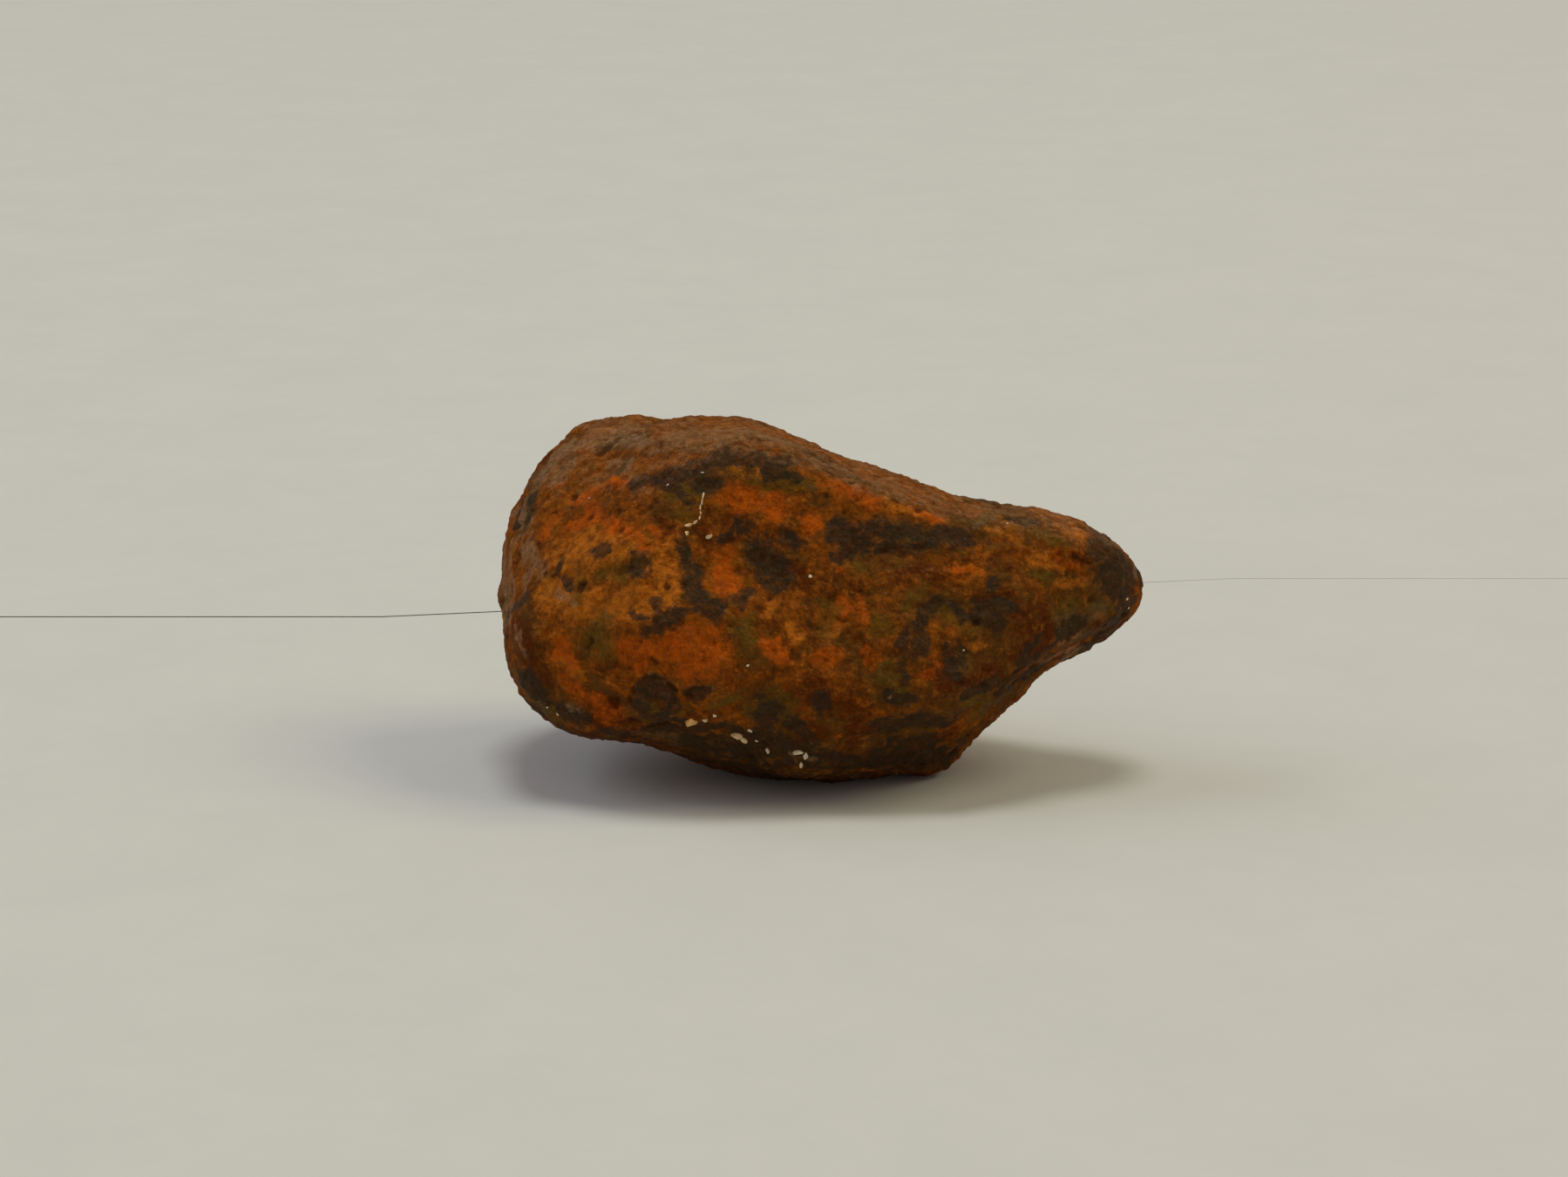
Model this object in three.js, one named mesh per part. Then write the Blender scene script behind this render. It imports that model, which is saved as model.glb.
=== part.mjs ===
// An iron meteorite: one weathered lump of nickel-iron, shaped like a blunt teardrop.
// Millimetres, +Z up. +X runs from the blunt end to the narrow tip, and -Y is the broad
// front face. The origin is under the middle of the lump, on the surface that it lies on.

import * as THREE from "three";
import { ImprovedNoise } from "three/addons/math/ImprovedNoise.js";
import { mergeVertices } from "three/addons/utils/BufferGeometryUtils.js";

// ---- Driving dimensions -------------------------------------------------------------

const LENGTH = 52; // blunt end to narrow tip, along X
const DEPTH = 30; // front face to back, along Y
const HEIGHT = 28.6; // flat resting spot to crown, along Z
const SPLITS = 21; // splits of each icosahedron edge: 20 * (SPLITS + 1)^2 triangles
const RUST_BROWN = 0x6e3a14;

// ---- Outlines of the body ------------------------------------------------------------

// Seen from the front: [x, z], clockwise from the blunt end over the crown to the tip.
const SIDE_OUTLINE = [
  [-26.0, 14.8], [-25.4, 19.4], [-23.6, 23.0], [-21.0, 25.4], [-17.6, 27.0], [-14.4, 27.8],
  [-8.6, 28.8], [-4.2, 28.8], [0.0, 27.8], [4.6, 25.8], [9.0, 24.0], [12.6, 23.0],
  [16.4, 23.2], [19.8, 22.4], [23.2, 20.6], [25.2, 18.2], [26.0, 15.4], [25.4, 13.2],
  [22.6, 10.9], [18.2, 7.8], [14.8, 5.0], [12.2, 2.4], [9.8, 0.0], [5.0, -0.7],
  [0.0, -1.0], [-4.6, -0.9], [-8.6, 0.2], [-10.8, 1.8], [-13.4, 3.2], [-17.2, 3.6],
  [-20.6, 4.4], [-22.8, 6.3], [-24.8, 9.8], [-25.8, 12.4],
];

// Seen from above: [x, y], from the blunt end along the front face to the tip.
const PLAN_OUTLINE = [
  [-26.0, 3.0], [-25.4, -4.0], [-22.6, -9.8], [-16.8, -13.6], [-8.6, -15.4], [-1.0, -15.4],
  [7.0, -14.0], [14.0, -11.4], [20.0, -8.4], [24.4, -5.2], [26.0, -1.6], [24.6, 1.8],
  [20.0, 5.2], [13.6, 8.8], [6.6, 12.4], [-0.6, 14.8], [-8.0, 15.4], [-15.0, 14.8],
  [-20.6, 12.4], [-24.8, 7.8],
];

// Where each cross-section is highest, lowest and widest, as shares of its own size,
// from the blunt end to the tip: 0 is the front face or the bottom, 1 the back or the top.
const CREST_LINE = [0.66, 0.8, 0.56, 0.5, 0.46, 0.46, 0.46, 0.46];
const KEEL_LINE = [0.36, 0.36, 0.5, 0.56, 0.56, 0.52, 0.5, 0.5];
const WAIST_LINE = [0.44, 0.46, 0.5, 0.52, 0.52, 0.52, 0.5, 0.5];
const SQUARENESS = 2.25; // 2 is an oval cross-section, and more is squarer

// ---- Forms on the body ------------------------------------------------------------------

// Flats that weathering left: each one presses the body back to a plane. `facing` is the
// way the flat looks, `through` its middle, `span` how far it reaches from there and
// `blend` how softly it starts.
const FLATS = [
  // Top, falling to the tip.
  { facing: [0.38, -0.03, 0.92], through: [3.6, -3, 26], span: 11, blend: 0.4 },
  // Upper part of the front face.
  { facing: [0.06, -0.84, 0.54], through: [3, -9.9, 19.4], span: 16, blend: 0.7 },
  // Middle of the front face.
  { facing: [0.16, -0.98, 0.02], through: [2, -14.4, 12], span: 14, blend: 0.6 },
  // Bevel below the tip.
  { facing: [0.57, -0.46, -0.68], through: [13.9, -9.5, 8.5], span: 16, blend: 0.4 },
  // Lower front, turning under: middle, right and left, and the belly close to the ground.
  { facing: [0.05, -0.9, -0.43], through: [0, -13, 5], span: 12, blend: 0.5 },
  { facing: [0.3, -0.77, -0.56], through: [8, -9.8, 4.6], span: 7, blend: 0.4 },
  { facing: [-0.3, -0.76, -0.58], through: [-8, -10.6, 4.6], span: 7, blend: 0.4 },
  { facing: [0, -0.305, -0.952], through: [0, -8, 1.2], span: 10, blend: 0.25 },
  { facing: [0.24, -0.33, -0.91], through: [7.4, -7.4, 2.4], span: 8, blend: 0.25 },
  { facing: [-0.26, -0.33, -0.91], through: [-8.4, -7.6, 2.6], span: 8, blend: 0.25 },
  // Blunt end: its upper shoulder and its lower corner.
  { facing: [-0.72, -0.48, 0.5], through: [-21.6, -5.6, 19], span: 12, blend: 0.8 },
  { facing: [-0.52, -0.78, -0.34], through: [-19.4, -11.4, 9.5], span: 11, blend: 0.7 },
  // Back: upper, lower and beside the tip.
  { facing: [-0.12, 0.92, 0.36], through: [-8, 13.4, 20], span: 14, blend: 0.8 },
  { facing: [0.34, 0.76, -0.55], through: [4, 10.8, 6.2], span: 16, blend: 0.8 },
  { facing: [0.3, 0.86, 0.42], through: [13, 7.4, 17.2], span: 12, blend: 0.6 },
];

// Lumps and ridges rise, hollows and grooves sink. A lump or hollow is round about the
// point `from`; a ridge or groove runs on `to` a second point. `width` is how far it
// spreads to each side, and `rise` its height.
const RELIEF = [
  // Crown: lobe at the back of the blunt end, hump in front of it, crease between them.
  { from: [-17, 7.5, 25], width: 5.5, rise: 1.8 },
  { from: [-8.5, 0.6, 27.6], width: 5, rise: 0.9 },
  { from: [-12.6, 5, 27.8], to: [-16.9, -1.5, 25.6], width: 1.5, rise: -1.2 },
  // Edge where the top meets the front face, from the crown down to the tip.
  { from: [-13.6, -6, 25], to: [-6.5, -6.6, 27.2], width: 2, rise: 0.5 },
  { from: [-2.8, -6.4, 27], to: [4.1, -6, 24.6], width: 2, rise: 0.5 },
  { from: [7, -5.8, 23.4], to: [13.5, -5.2, 21.4], width: 1.8, rise: 0.45 },
  { from: [14.6, -6, 20.8], to: [22.5, -4.2, 18.6], width: 2, rise: 0.5 },
  // Groove below that edge.
  { from: [3.9, -9.6, 20.6], to: [8.4, -9.2, 20.4], width: 1.2, rise: -0.5 },
  // Broad hollow near the blunt end, with low knobs in it.
  { from: [-16, -12.4, 18.4], width: 5.4, rise: -1.3 },
  { from: [-18.6, -11.9, 17.6], width: 1.7, rise: 0.6 },
  { from: [-14.2, -12.8, 19.6], width: 1.8, rise: 0.7 },
  { from: [-18.4, -10.4, 21.6], to: [-12.6, -11.4, 22], width: 1.5, rise: 0.5 },
  { from: [-12.2, -13.6, 16.4], to: [-15.6, -13.4, 15.2], width: 1.6, rise: 0.5 },
  // Knob low on the front, the hole beside it and the undercut below it.
  { from: [-13.2, -13.2, 8.4], width: 2.2, rise: 0.9 },
  { from: [-16.1, -12.6, 8.8], width: 1.3, rise: -0.9 },
  { from: [-15, -10.6, 4.6], to: [-10.6, -11.2, 5], width: 1.7, rise: -0.8 },
  // Bumps around the lower corner and up the blunt end.
  { from: [-22, -9.2, 8.8], width: 2.3, rise: 0.6 },
  { from: [-19.3, -10.6, 6.8], width: 1.9, rise: 0.5 },
  { from: [-22.8, -7.8, 20], to: [-23, -8.6, 13], width: 2.2, rise: 0.6 },
  { from: [-25, -2, 16], width: 3.4, rise: -0.6 },
  // Swells and hollows across the middle of the front face.
  { from: [-10, -14.6, 13.6], width: 4, rise: 0.7 },
  { from: [-7, -12.8, 17.4], width: 2.6, rise: 0.5 },
  { from: [-4.2, -11.4, 19.6], width: 2.8, rise: -0.7 },
  { from: [0.6, -13.4, 14.6], width: 3.6, rise: -0.35 },
  { from: [4.8, -12.6, 15.6], width: 3, rise: 0.5 },
  { from: [10.2, -11.4, 15.8], width: 2.8, rise: -0.45 },
  { from: [14.4, -9.4, 17.4], width: 2.8, rise: 0.5 },
  { from: [19.4, -7.8, 16.6], width: 2.6, rise: -0.5 },
  // Belly edge, and the edge and crease that lead on from it to the tip.
  { from: [2.6, -13.8, 9.8], to: [10.6, -12.8, 9.6], width: 2.2, rise: 0.5 },
  { from: [11.6, -12, 9.8], to: [19.6, -8.2, 13], width: 1.8, rise: 0.6 },
  { from: [13.2, -9.8, 7.4], to: [17.4, -7, 10], width: 1.3, rise: -0.7 },
  // Lower front: foot at the right, hollows and a swell beside it.
  { from: [9.6, -3.4, 1.4], width: 2.4, rise: 1 },
  { from: [5.4, -10, 4.8], width: 2.4, rise: -0.4 },
  { from: [-0.8, -10.4, 3.4], width: 2.6, rise: 0.5 },
  { from: [-6.4, -11, 4.4], width: 2.4, rise: -0.6 },
  // Back: shallow thumb marks, the rib between them, and a groove towards the tip.
  { from: [-15, 13.4, 15], width: 4.8, rise: -1.5 },
  { from: [-3, 13.8, 19.6], width: 4, rise: -1.3 },
  { from: [4.4, 11.6, 11], width: 4, rise: -1.2 },
  { from: [-9.6, 14.6, 9.6], to: [-7.6, 13.8, 20], width: 2.2, rise: 0.9 },
  { from: [-21, 8.4, 8.6], width: 3.8, rise: 0.9 },
  { from: [9.6, 8.6, 17.4], to: [19, 4.4, 15], width: 1.8, rise: -0.8 },
  { from: [-1, 9, 24], width: 4, rise: -0.9 },
  // Underside: hollows beside the resting spot.
  { from: [17, 0, 6.6], width: 3.8, rise: -0.8 },
  { from: [-18, 2, 3.4], width: 4.2, rise: -0.9 },
];

// Unevenness of the weathered surface: how far apart its swells are, and their height.
const UNEVENNESS = [
  { spacing: 11, height: 0.8 },
  { spacing: 5.2, height: 0.5 },
  { spacing: 2.6, height: 0.24 },
];

// ---- Body --------------------------------------------------------------------------

// Lowest and highest second coordinate of a closed outline at each x.
function spanReader(outline) {
  const curve = new THREE.CatmullRomCurve3(
    outline.map(([x, v]) => new THREE.Vector3(x, v, 0)), true, "centripetal",
  );
  const points = curve.getPoints(1600);
  const xs = points.map((p) => p.x);
  const [lowX, highX] = [Math.min(...xs), Math.max(...xs)];
  const read = (x) => {
    let [low, high] = [Infinity, -Infinity];
    for (let i = 0; i + 1 < points.length; i++) {
      const [a, b] = [points[i], points[i + 1]];
      if ((a.x - x) * (b.x - x) > 0 || a.x === b.x) continue;
      const v = a.y + ((b.y - a.y) * (x - a.x)) / (b.x - a.x);
      low = Math.min(low, v);
      high = Math.max(high, v);
    }
    return [low, high];
  };
  return { lowX, highX, read };
}

// A smooth line through evenly spaced values, read at a share from 0 to 1.
function lineReader(values) {
  const curve = new THREE.SplineCurve(values.map((v, i) => new THREE.Vector2(i, v)));
  return (share) => curve.getPoint(THREE.MathUtils.clamp(share, 0, 1)).y;
}

const side = spanReader(SIDE_OUTLINE);
const plan = spanReader(PLAN_OUTLINE);
const crest = lineReader(CREST_LINE);
const keel = lineReader(KEEL_LINE);
const waist = lineReader(WAIST_LINE);

// The body's point in the direction of a point of the unit sphere.
function bodyPoint(direction) {
  const along = (1 + direction.x) / 2;
  const inset = 1e-4 * LENGTH;
  const at = ({ lowX, highX, read }) =>
    read(THREE.MathUtils.clamp(THREE.MathUtils.lerp(lowX, highX, along), lowX + inset, highX - inset));
  const [bottom, top] = at(side);
  const [front, back] = at(plan);
  const radius = Math.hypot(direction.y, direction.z) || 1;
  const [across, up] = [direction.y / radius, direction.z / radius];
  const swell = (v) => Math.abs(v) ** (2 / SQUARENESS);
  const middleY = THREE.MathUtils.lerp(front, back, up > 0 ? crest(along) : keel(along));
  const middleZ = THREE.MathUtils.lerp(bottom, top, waist(along));
  return new THREE.Vector3(
    THREE.MathUtils.lerp(side.lowX, side.highX, along),
    middleY + (across > 0 ? back - middleY : front - middleY) * swell(across),
    middleZ + (up > 0 ? top - middleZ : bottom - middleZ) * swell(up),
  );
}

// ---- Shaping the surface ---------------------------------------------------------------

// Moves every vertex of a geometry to the point that `move` gives for it.
function moveVertices(geometry, move) {
  const position = geometry.getAttribute("position");
  const normal = geometry.getAttribute("normal");
  const point = new THREE.Vector3();
  const outward = new THREE.Vector3();
  for (let i = 0; i < position.count; i++) {
    point.fromBufferAttribute(position, i);
    if (normal) outward.fromBufferAttribute(normal, i);
    position.setXYZ(i, ...move(point, outward));
  }
  geometry.computeVertexNormals();
}

const flats = FLATS.map(({ facing, through, ...size }) => {
  const middle = new THREE.Vector3(...through);
  const normal = new THREE.Vector3(...facing).normalize();
  const plane = new THREE.Plane().setFromNormalAndCoplanarPoint(normal, middle);
  return { plane, middle, ...size };
});

// Presses a point back towards every flat that it stands proud of.
function pressFlat(point) {
  for (const { plane, middle, span, blend } of flats) {
    const nearness = Math.exp(-((point.distanceTo(middle) / span) ** 4));
    const proud = Math.log1p(Math.exp(plane.distanceToPoint(point) / blend)) * blend;
    point.addScaledVector(plane.normal, -0.9 * nearness * proud);
  }
  return point;
}

const relief = RELIEF.map(({ from, to, width, rise }) => ({
  line: new THREE.Line3(new THREE.Vector3(...from), new THREE.Vector3(...(to ?? from))), width, rise,
}));

// Height of all lumps, ridges, hollows and grooves at a point.
function reliefAt(point) {
  const nearest = new THREE.Vector3();
  return relief.reduce((sum, { line, width, rise }) => {
    if (line.start.equals(line.end)) nearest.copy(line.start);
    else line.closestPointToPoint(point, true, nearest);
    return sum + rise * Math.exp(-nearest.distanceToSquared(point) / width ** 2);
  }, 0);
}

const noise = new ImprovedNoise();

function unevennessAt({ x, y, z }) {
  return UNEVENNESS.reduce((sum, { spacing, height }, i) => {
    const [u, v, w] = [x, y, z].map((value) => value / spacing + 31.7 * (i + 1));
    return sum + height * noise.noise(u, v, w);
  }, 0);
}

// ---- Lump --------------------------------------------------------------------------

function lumpGeometry() {
  const sphere = new THREE.IcosahedronGeometry(1, SPLITS);
  sphere.deleteAttribute("normal");
  sphere.deleteAttribute("uv");
  const geometry = mergeVertices(sphere, 1e-5);
  moveVertices(geometry, (point) => bodyPoint(point.normalize()));
  moveVertices(geometry, pressFlat);
  moveVertices(geometry, (point, outward) =>
    point.addScaledVector(outward, reliefAt(point) + unevennessAt(point)));
  moveVertices(geometry, (point) => point.setZ(Math.max(0, point.z)));
  return geometry;
}

// Scales the lump to its driving dimensions, centred over the origin and lying on z = 0.
function fitToSize(geometry) {
  geometry.computeBoundingBox();
  const box = geometry.boundingBox;
  const size = box.getSize(new THREE.Vector3());
  const centre = box.getCenter(new THREE.Vector3());
  geometry.translate(-centre.x, -centre.y, -box.min.z);
  geometry.scale(LENGTH / size.x, DEPTH / size.y, HEIGHT / size.z);
}

const geometry = lumpGeometry();
fitToSize(geometry);

const meteorite = new THREE.Mesh(
  geometry,
  new THREE.MeshStandardMaterial({ color: RUST_BROWN, roughness: 0.85, metalness: 0.15 }),
);
meteorite.name = "meteorite";

const part = new THREE.Group();
part.add(meteorite);
export default part;
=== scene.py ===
"""Dresses the iron meteorite: its fine rusted skin, the pale grains that cling to it, and a
plain studio. Metres, in the frame of the packed solid: +X to the narrow tip, -Y the broad
front face, +Z up."""

import math
import random

import bmesh
import bpy
import numpy as np
from mathutils import Matrix, Vector, noise
from mathutils.bvhtree import BVHTree


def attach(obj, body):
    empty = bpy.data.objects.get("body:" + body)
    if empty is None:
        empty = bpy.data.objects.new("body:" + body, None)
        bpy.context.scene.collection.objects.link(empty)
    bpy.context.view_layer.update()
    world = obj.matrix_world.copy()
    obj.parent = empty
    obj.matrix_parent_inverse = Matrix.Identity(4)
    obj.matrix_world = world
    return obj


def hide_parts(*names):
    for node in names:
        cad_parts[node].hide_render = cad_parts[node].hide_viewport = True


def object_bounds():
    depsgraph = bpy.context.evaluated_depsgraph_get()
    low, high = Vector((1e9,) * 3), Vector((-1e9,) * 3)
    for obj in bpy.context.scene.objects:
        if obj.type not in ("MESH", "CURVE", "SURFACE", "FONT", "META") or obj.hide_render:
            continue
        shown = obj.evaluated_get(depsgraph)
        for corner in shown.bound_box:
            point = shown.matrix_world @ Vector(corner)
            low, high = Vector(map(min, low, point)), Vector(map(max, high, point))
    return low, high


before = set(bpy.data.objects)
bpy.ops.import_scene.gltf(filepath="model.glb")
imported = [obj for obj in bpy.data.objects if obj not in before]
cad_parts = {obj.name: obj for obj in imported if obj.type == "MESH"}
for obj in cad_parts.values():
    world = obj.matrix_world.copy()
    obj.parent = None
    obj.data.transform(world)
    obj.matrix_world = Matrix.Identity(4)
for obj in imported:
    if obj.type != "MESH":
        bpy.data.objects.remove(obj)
SOLID_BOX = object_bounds()

bl_info = {
    "name": "Iron meteorite",
    "version": (1, 0, 0),
    "blender": (4, 5, 0),
    "location": "3D View > Sidebar > Meteorite",
    "description": "Builds the rusted skin, clinging grains and studio of an iron meteorite",
    "category": "Add Mesh",
}

LUMP = "meteorite"
BODY = "root"
MM = 0.001

# Places on the front are in millimetres right and up from the middle of the front view,
# which looks along +Y and a little down, at this point of the lump.
VIEW_TARGET = (-2.8, 0, 14.7)

# Patches on the front, later kinds over earlier ones: for each half-width, the lines that run
# down the middle of the patches, as right and up of one point after another.
FRONT_PATCHES = {
    # Umber; the wide patches over the lower and right parts are partly painted shade.
    "umber": {
        0.6: [(-16.8, -11.7, -14, -12.1), (-14.7, 0.9, -13.7, 1.4), (-5.4, -9.3, -2.8, -8.5),
         (1.8, 8.1, 3.2, 7.2), (17.6, 6.4, 21.1, 5.5), (20.1, 4.8, 21.5, 4.4)],
        0.7: [(-8.4, -9.8), (-8.4, -7.7, -7.7, -7.4), (11.3, 6.1, 13.4, 5.5)],
        0.8: [(-21.7, -6, -21, -7.7), (-14.7, -3.2, -16.1, -4.9), (-14.4, 11.7, -11.2, 12.3),
         (-7.8, 2.5, -7, -1.1), (14.1, -5.3, 14.8, -6.7), (19.7, 1.4, 21.8, 0.7),
         (19.7, 4.4, 22.1, 4), (23.3, 0.5, 24.3, -0.1)],
        0.9: [(-14.7, -8.1, -10.5, -10.9), (-3.5, -3.7, -2.2, -6.2)],
        1: [(-20.2, 7.4, -21, 5.1), (-18.2, -11, -20, -9.5), (-14, -12.3, -16.1, -11.9),
         (-2.8, -14.5, -5.6, -13.5), (0.4, 10.9, 7.1, 8.4), (2.1, -15, 5.7, -15),
         (2.8, -9.5, 4.2, -11.6), (13.4, -6.7, 14.1, -8.8)],
        1.1: [(-21, -1.8, -21, -6, -19.3, -9.5), (-9.8, 6.7, -7.7, 4.9), (-7.7, 8.4, -0.7, 9.5),
         (2.5, -1.8, 5.7, -6), (7.8, -7.7, 9.9, -6.1), (7.8, -8.8, 11.3, -9.1),
         (14.1, -12.3, 15.5, -11.3), (16.2, -10.9, 18.6, -8.8), (16.9, -9.5, 19.7, -7.4),
         (21.1, -6.7, 23.9, -5.1), (25.7, -3.7, 27.4, -2.3)],
        1.2: [(-2.6, 2.5, 0.4, 2.3), (14.1, 4.9, 20.4, 5.3)],
        1.3: [(-21.6, -4.6, -20.9, -6.5), (-1.9, -8.8, 0.4, -11), (2.1, -13.8, 7.8, -14.1),
         (9.9, -1.1, 13, -1.2), (11.3, -13.5, 13, -14.3), (15.1, -8.8, 17.6, -7.4)],
        1.4: [(-19.6, -7.7, -18.2, -10), (-9.1, -11.2, -7, -12.3),
         (-8.4, -12.3, -2.8, -13.7, 2.8, -14.4), (4.2, 4, 13, 4.3), (6.4, 2.5, 9.9, 1.8),
         (16.9, 1.4, 19.7, -1.1)],
        1.5: [(23.2, -3.2, 21.1, -4.9), (27, 1.8, 27.1, 0.2)],
        1.7: [(7.1, -12.6, 0, -13.1, -5.6, -12.4), (20.4, -1.8, 16.9, -1.1)],
        1.8: [(0, -12.6, -4.2, -12.3), (17.6, -7.4, 14.1, -8.1)],
        2: [(9.9, -11.6, 5.7, -12.8)],
        2.1: [(10.6, -10.9, 14.8, -8.8)],
        2.4: [(14.8, -7, 19, -4.2, 23.6, -2.1)],
    },
    "maroon": {
        0.2: [(-9.5, 0.1)],
        0.4: [(-8.7, 1.4, -8.2, 0.9), (16.9, 2.5, 18.3, 1.8), (23.3, 2.9, 24.6, 2.2)],
        0.5: [(-14, -6.2, -11.5, -6.4), (-9.8, 6, -8.7, 4.4), (-4.7, 5.5, -3.5, 5.8), (7.8, 1.8),
         (10.2, -3.2), (16.9, -8.8, 18.3, -7.8)],
        0.6: [(-19.8, -6.8, -19.1, -7.5), (-17.5, -11.7, -14.7, -11.9), (-15.7, -10.6, -14, -11),
         (-12.9, -10.7, -12.3, -11.4), (-7, 4.9, -5.9, 4), (-5.6, -11.2, -2.8, -11.7),
         (-4.9, 3.9, -3.8, 4.6), (0.4, 1.8, 1.6, 0.5), (10.6, 1.4, 12.5, 0.8),
         (12.7, -12.4, 13.8, -11.7), (14.8, -7.4, 17.6, -6.8), (15.6, -0.6, 18.3, -0.4)],
        0.7: [(-20.6, -6.3), (-16.8, -8.1, -17.5, -6.7), (-15.1, -8.8, -14, -10.3),
         (11.3, 1.8, 9.5, 0.9), (11.8, -6.8, 13.4, -7.7), (19.7, -4.3, 18.3, -5.4),
         (20, -4.2, 21.1, -3.6)],
        0.8: [(-21.7, -2.8, -21.3, -4.9), (-21.6, -3.7, -21.2, -5.1), (-21.2, -4.3, -20.6, -6.8),
         (0.4, -8.8, 2.5, -9.3), (2.8, -13.5, 5.3, -13.8), (2.8, -7.4, 1.8, -7),
         (3.5, -9.1, 6, -10.3), (5.3, -12, 7.1, -11.4), (6.4, -13.5, 9.9, -13.8),
         (19.6, -2.6, 21.4, -3.3), (21.1, -4.9, 19, -5.4)],
        0.9: [(-21.3, -3.3, -20.7, -5.3, -20.2, -6.8), (2.8, -11.7, 1.1, -12.3)],
        1.1: [(6, -10.3, 5.4, -12.3), (18.8, -2, 21.2, -2.6), (19.4, -2.9, 21.1, -3.6)],
    },
    "ochre": {
        0.3: [(-15.7, 4.8, -14.6, 4.4, -13.2, 4.1, -11.9, 3.6), (16.6, 5, 17.7, 4.6, 19, 3.6),
         (21.4, 5, 23.3, 5.3)],
        0.4: [(-15.7, 4.8, -14.2, 4.1, -12.5, 4), (-10.8, 2.5, -9.8, 1.8), (-9.1, 5.3, -8, 5.1),
         (-2.2, 9.3), (8.1, 7.1, 10.2, 6.2, 12, 5.8), (14.1, 1.8, 15.8, 1.3), (15.3, -4.4, 16, -4),
         (17.6, 5.8, 18, 5.3), (19.7, 2.6, 22.1, 1.9), (22.1, 0.2, 23.9, 0.5),
         (22.6, 4.7, 23.9, 4.1)],
        0.5: [(-18.2, -1.1, -17.1, -1.9), (-14.7, -1.1, -13, -0.5, -11.1, 0.2),
         (-14, 1.9, -13.4, 0.5), (-14, -1.8, -12, -2.2), (-11.5, 3.7, -10, 2.7, -9.7, 1.9),
         (-10.4, 1.4, -8.5, 0.5), (-8.7, 2.5, -9.4, 3.2), (-4, 9.6), (-1.4, -1.8, -0.7, -1.1),
         (0.4, -2.9, 1.1, -3.9), (3.4, -4.2, 4.4, -3.2)],
        0.6: [(-18.2, -5.6, -16.3, -6.8), (-17.2, 2.5, -16.3, 3.9), (-11.5, -1.2, -10.5, -0.9),
         (-10.6, 2.6, -9.8, 2.2)],
        1.1: [(-10, 1.6, -8.7, 0.5, -9.9, -0.6)],
        1.3: [(-18.8, -0.4, -16.5, -1.6, -13.7, -1.5, -11.1, -0.9)],
        1.4: [(-18.1, 2.5, -14.7, 3.3, -11.2, 2.5)],
    },
    "bright": {
        0.3: [(4.1, -12.3, 4.9, -12.8), (21.8, 2.6, 23.6, 2)],
        0.4: [(-14.4, 5.3, -13.4, 5), (-11.7, 4, -11.1, 3.3), (-10.4, 4.8, -9.8, 4.1),
         (-0.5, -4.2), (4.2, 1.5), (11, 6, 12.7, 5.6), (12.4, -5.3, 12.7, -6.2), (13.7, -10.2),
         (13.8, 1.8, 15.6, 1.4), (23.6, 4.7)],
        0.5: [(-14, 8.9, -13.2, 8.4), (6, -1.1, 6.4, -2.6), (6.4, -4.9, 7.3, -6), (11.4, -6.8)],
        0.6: [(-18.2, 6, -19.3, 4.4), (-17.9, -4.2, -18.2, -5.4), (-17.5, -4.9, -16.7, -6.3),
         (-17.2, 5.3, -15.7, 5.4), (-14.8, 8.1, -16.8, 7.2), (-14, 4.8, -12, 4.4), (-12.7, -4.7),
         (-9.8, -4.2, -7.7, -4.9), (-1.4, -4.6, 0, -5.4), (2.5, -6, 4.2, -5.4),
         (4.1, 8.4, 7.3, 7.1)],
        0.7: [(-17.4, -7.8, -15.4, -8.8, -14, -9.9), (-15.8, 6.3, -14, 5.4)],
        0.8: [(-13.2, -4.9, -11.5, -6.3), (-9.1, -4.9, -7, -6.3), (2.8, -2.6, 4.4, -1.8)],
        0.9: [(-4.8, 2, -4.2, -1.2), (2.4, 5.3)],
        1: [(-3.8, 7.2, -1.9, 6.9, -0.7, 6.4)],
        1.2: [(-11.1, -4.9, -8.7, -4.4, -6.4, -3.9), (-7.7, -6.5, -5.7, -5.1)],
    },
    "olive": {
        0.4: [(-5.4, -9.6, -3.6, -8.9), (6, 1.8, 7.1, 1.1)],
        0.5: [(-10.8, -9.2), (-9.8, 7.7, -8, 7.2), (-2.2, 8.4, 0.4, 8.3), (0.4, -9.2, 0.2, -10.2),
         (9.2, 4.3, 11.3, 4.4), (14.2, -5.3, 14.5, -6.2), (25.4, -1.1, 26.4, -1.9)],
        0.6: [(-19.3, -9.6, -18.2, -10.3), (-14.7, 1.1, -13.2, 1.6), (-11.1, -9.2), (-2.1, -5.4),
         (0, 9.1, 1.8, 8.6), (2.8, -1.1, 4.1, -2.1), (7.8, -2.9), (9.9, -1.1, 11.3, -0.4),
         (15.5, 5.5, 16.6, 6.1), (15.5, -9.6, 16.5, -8.8), (20.3, 1.2, 21.1, 0.8),
         (20.4, 4.4, 22.1, 3.7), (27, 1.6, 27.3, -0.1)],
        0.7: [(-13.2, 1.2), (-10.4, -9.6), (-4, -1.1, -4.3, -1.9), (2.8, -1.8, 3.4, -3.3),
         (11.3, -11.6), (25.9, 2.5, 25.4, 0.7)],
        0.8: [(-9.4, -10.2), (-2.6, -9.9, -0.2, -8.9), (7.9, -2.6, 8, -3.2),
         (15.1, -9.3, 15.8, -10.3), (22.1, -1.8, 24.3, -1.3)],
        0.9: [(-14.7, -2.6), (-12, 1.9), (-7.3, 8.1, -7.7, 6.1), (-3.5, -2.6, -2.8, -4.4)],
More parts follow.
